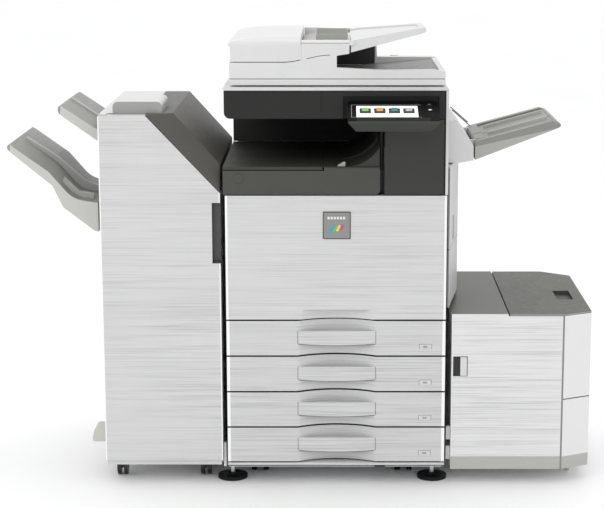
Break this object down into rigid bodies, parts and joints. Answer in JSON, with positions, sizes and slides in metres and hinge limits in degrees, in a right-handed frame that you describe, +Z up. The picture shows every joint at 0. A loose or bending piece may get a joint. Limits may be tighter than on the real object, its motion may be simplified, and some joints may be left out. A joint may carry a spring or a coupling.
{
  "type": "office photocopier",
  "caption": "Floor-standing colour copier with paper drawers, tilting operation panel, document feeder, stapling finisher with trays and a side paper cabinet.",
  "frame": {"origin": "middle of the footprint's bounding box, at floor level", "axes": "+X to the machine's right as seen by its user, +Y from the front to the back, +Z up"},
  "size_m": [1.531, 0.761, 1.204],
  "materials": {
    "white": "fine moulded texture with faint horizontal bands",
    "dark": "matt dark grey-brown moulded plastic",
    "cover_grey": "matt warm grey moulded plastic",
    "tray_grey": "matt mid grey moulded plastic",
    "tray_beige": "matt light beige-grey moulded plastic",
    "lid_beige": "matt light beige-grey moulded plastic",
    "drawer_grey": "matt grey moulded plastic",
    "guide_grey": "matt grey moulded plastic",
    "feeder_tray": "matt light grey moulded plastic",
    "grey": "matt grey moulded plastic",
    "unit_grey": "matt dark grey moulded plastic",
    "black_plastic": "matt black moulded plastic",
    "belt": "smooth dark belt film",
    "display": "lit display behind a clear sheet",
    "key": "smooth moulded key",
    "caster": "black nylon wheels and forks",
    "steel": "zinc-coated sheet steel",
    "rubber": "black rubber",
    "glass": "clear float glass"
  },
  "bodies": {
    "main": {"main_frame": "steel", "outer_covers": "white", "rear_cover": "white", "output_tray": "dark", "cavity_liner": "black_plastic", "relay_cover": "dark", "exit_cover": "dark", "scanner_housing": "dark", "scanner_top": "white", "platen_glass": "glass", "stand_feet": "rubber", "toner_cartridges": "black_plastic", "drum_units": "black_plastic", "transfer_belt_unit": "belt", "laser_unit": "unit_grey", "fuser_unit": "unit_grey", "feed_rollers": "rubber", "side_tray_housing": "white", "finisher_frame": "white", "finisher_top_cover": "cover_grey", "finisher_upper_tray": "tray_grey", "stapler_unit": "black_plastic"},
    "scan_carriage": {"scan_carriage": "black_plastic"},
    "front_door": {"front_door": "white"},
    "operation_panel": {"panel_housing": "dark", "panel_screen": "display"},
    "key_upper": {"panel_key_upper": "key"},
    "key_lower": {"panel_key_lower": "key"},
    "side_door": {"side_door": "white"},
    "side_latch": {"side_door_latch": "grey"},
    "side_tray": {"side_tray": "tray_grey"},
    "feeder": {"feeder_base": "white"},
    "feeder_cover": {"feeder_cover": "white"},
    "input_tray": {"feeder_input_tray": "feeder_tray"},
    "guide_front": {"feeder_guide_front": "guide_grey"},
    "guide_rear": {"feeder_guide_rear": "guide_grey"},
    "feed_roller": {"feeder_roller": "rubber"},
    "finisher_door": {"finisher_door": "white"},
    "lower_tray": {"finisher_lower_tray": "tray_grey"},
    "booklet_tray": {"booklet_tray": "tray_beige"},
    "cabinet": {"cabinet_body": "white"},
    "cabinet_lid": {"cabinet_lid": "lid_beige"},
    "cabinet_lever": {"cabinet_lever": "white"},
    "paper_table": {"cabinet_paper_table": "steel"},
    "drawer_1": {"drawer_1_front": "white", "drawer_1_tray": "drawer_grey"},
    "lift_plate_1": {"drawer_1_lift_plate": "steel"},
    "drawer_2": {"drawer_2_front": "white", "drawer_2_tray": "drawer_grey"},
    "lift_plate_2": {"drawer_2_lift_plate": "steel"},
    "drawer_3": {"drawer_3_front": "white", "drawer_3_tray": "drawer_grey"},
    "lift_plate_3": {"drawer_3_lift_plate": "steel"},
    "drawer_4": {"drawer_4_front": "white", "drawer_4_tray": "drawer_grey"},
    "lift_plate_4": {"drawer_4_lift_plate": "steel"},
    "caster_front_left": {"caster_front_left": "caster"},
    "caster_front_right": {"caster_front_right": "caster"},
    "caster_rear_left": {"caster_rear_left": "caster"},
    "caster_rear_right": {"caster_rear_right": "caster"}
  },
  "joints": [
    {"name": "scan_carriage_slide", "type": "slide", "parent": "main", "child": "scan_carriage", "axis": [1, 0, 0], "range_m": [0, 0.38]},
    {"name": "front_door_hinge", "type": "hinge", "parent": "main", "child": "front_door", "pos_m": [0.0955, -0.2335, 0.4533], "axis": [1, 0, 0], "range_deg": [0, 90]},
    {"name": "panel_tilt", "type": "hinge", "parent": "main", "child": "operation_panel", "pos_m": [0.2365, -0.2535, 1], "axis": [-1, 0, 0], "range_deg": [-10, 20]},
    {"name": "key_upper_press", "type": "slide", "parent": "operation_panel", "child": "key_upper", "axis": [0, 0.2317, -0.9728], "range_m": [0, 0.0015], "stiffness_N_per_m": 300},
    {"name": "key_lower_press", "type": "slide", "parent": "operation_panel", "child": "key_lower", "axis": [0, 0.2317, -0.9728], "range_m": [0, 0.0015], "stiffness_N_per_m": 300},
    {"name": "side_door_hinge", "type": "hinge", "parent": "main", "child": "side_door", "pos_m": [0.3935, 0.3485, 0.66], "axis": [0, 0, 1], "range_deg": [0, 45]},
    {"name": "side_latch_pull", "type": "hinge", "parent": "side_door", "child": "side_latch", "pos_m": [0.3965, -0.1055, 0.672], "axis": [0, 0, 1], "range_deg": [0, 20], "stiffness_Nm_per_rad": 0.02},
    {"name": "side_tray_hinge", "type": "hinge", "parent": "main", "child": "side_tray", "pos_m": [0.4595, -0.0005, 0.901], "axis": [0, -1, 0], "range_deg": [0, 60]},
    {"name": "drawer_1_slide", "type": "slide", "parent": "main", "child": "drawer_1", "axis": [0, -1, 0], "range_m": [0, 0.42]},
    {"name": "lift_plate_1_hinge", "type": "hinge", "parent": "drawer_1", "child": "lift_plate_1", "pos_m": [-0.1245, 0.0515, 0.3608], "axis": [0, -1, 0], "range_deg": [0, 6]},
    {"name": "drawer_2_slide", "type": "slide", "parent": "main", "child": "drawer_2", "axis": [0, -1, 0], "range_m": [0, 0.42]},
    {"name": "lift_plate_2_hinge", "type": "hinge", "parent": "drawer_2", "child": "lift_plate_2", "pos_m": [-0.1245, 0.0515, 0.2643], "axis": [0, -1, 0], "range_deg": [0, 6]},
    {"name": "drawer_3_slide", "type": "slide", "parent": "main", "child": "drawer_3", "axis": [0, -1, 0], "range_m": [0, 0.42]},
    {"name": "lift_plate_3_hinge", "type": "hinge", "parent": "drawer_3", "child": "lift_plate_3", "pos_m": [-0.1245, 0.0515, 0.1678], "axis": [0, -1, 0], "range_deg": [0, 6]},
    {"name": "drawer_4_slide", "type": "slide", "parent": "main", "child": "drawer_4", "axis": [0, -1, 0], "range_m": [0, 0.42]},
    {"name": "lift_plate_4_hinge", "type": "hinge", "parent": "drawer_4", "child": "lift_plate_4", "pos_m": [-0.1245, 0.0515, 0.0713], "axis": [0, -1, 0], "range_deg": [0, 6]},
    {"name": "feeder_hinge", "type": "hinge", "parent": "main", "child": "feeder", "pos_m": [0.0855, 0.2725, 1.076], "axis": [-1, 0, 0], "range_deg": [0, 60]},
    {"name": "feeder_cover_hinge", "type": "hinge", "parent": "feeder", "child": "feeder_cover", "pos_m": [-0.173, 0.008, 1.1215], "axis": [0, -1, 0], "range_deg": [0, 60]},
    {"name": "input_tray_hinge", "type": "hinge", "parent": "feeder", "child": "input_tray", "pos_m": [0.1365, 0.008, 1.165], "axis": [0, -1, 0], "range_deg": [0, 25]},
    {"name": "guide_front_slide", "type": "slide", "parent": "feeder", "child": "guide_front", "axis": [0, 1, 0], "range_m": [-0.06, 0.08]},
    {"name": "guide_rear_slide", "type": "slide", "parent": "feeder", "child": "guide_rear", "axis": [0, 1, 0], "range_m": [-0.08, 0.06]},
    {"name": "feed_roller_spin", "type": "hinge", "parent": "feeder", "child": "feed_roller", "pos_m": [-0.0645, 0.008, 1.128], "axis": [0, 1, 0], "continuous": true},
    {"name": "finisher_door_hinge", "type": "hinge", "parent": "main", "child": "finisher_door", "pos_m": [-0.5055, -0.2285, 0.5], "axis": [0, 0, -1], "range_deg": [0, 100]},
    {"name": "lower_tray_lift", "type": "slide", "parent": "main", "child": "lower_tray", "axis": [0, 0, -1], "range_m": [0, 0.25]},
    {"name": "booklet_tray_hinge", "type": "hinge", "parent": "main", "child": "booklet_tray", "pos_m": [-0.5225, -0.1225, 0.099], "axis": [0, -1, 0], "range_deg": [0, 40]},
    {"name": "caster_front_left_swivel", "type": "hinge", "parent": "main", "child": "caster_front_left", "pos_m": [-0.4815, -0.1585, 0.03], "axis": [0, 0, 1], "continuous": true},
    {"name": "caster_front_right_swivel", "type": "hinge", "parent": "main", "child": "caster_front_right", "pos_m": [-0.2565, -0.1585, 0.03], "axis": [0, 0, 1], "continuous": true},
    {"name": "caster_rear_left_swivel", "type": "hinge", "parent": "main", "child": "caster_rear_left", "pos_m": [-0.4815, 0.2605, 0.03], "axis": [0, 0, 1], "continuous": true},
    {"name": "caster_rear_right_swivel", "type": "hinge", "parent": "main", "child": "caster_rear_right", "pos_m": [-0.2565, 0.2605, 0.03], "axis": [0, 0, 1], "continuous": true},
    {"name": "cabinet_slide", "type": "slide", "parent": "main", "child": "cabinet", "axis": [1, 0, 0], "range_m": [0, 0.3]},
    {"name": "cabinet_lid_hinge", "type": "hinge", "parent": "cabinet", "child": "cabinet_lid", "pos_m": [0.5485, 0.0315, 0.462], "axis": [0, -1, 0], "range_deg": [0, 80]},
    {"name": "cabinet_lever_slide", "type": "slide", "parent": "cabinet", "child": "cabinet_lever", "axis": [-1, 0, 0], "range_m": [0, 0.014]},
    {"name": "paper_table_lift", "type": "slide", "parent": "cabinet", "child": "paper_table", "axis": [0, 0, 1], "range_m": [0, 0.36]}
  ],
  "couplings": [
    {"joint": "guide_rear_slide", "follows": "guide_front_slide", "ratio": -1}
  ]
}
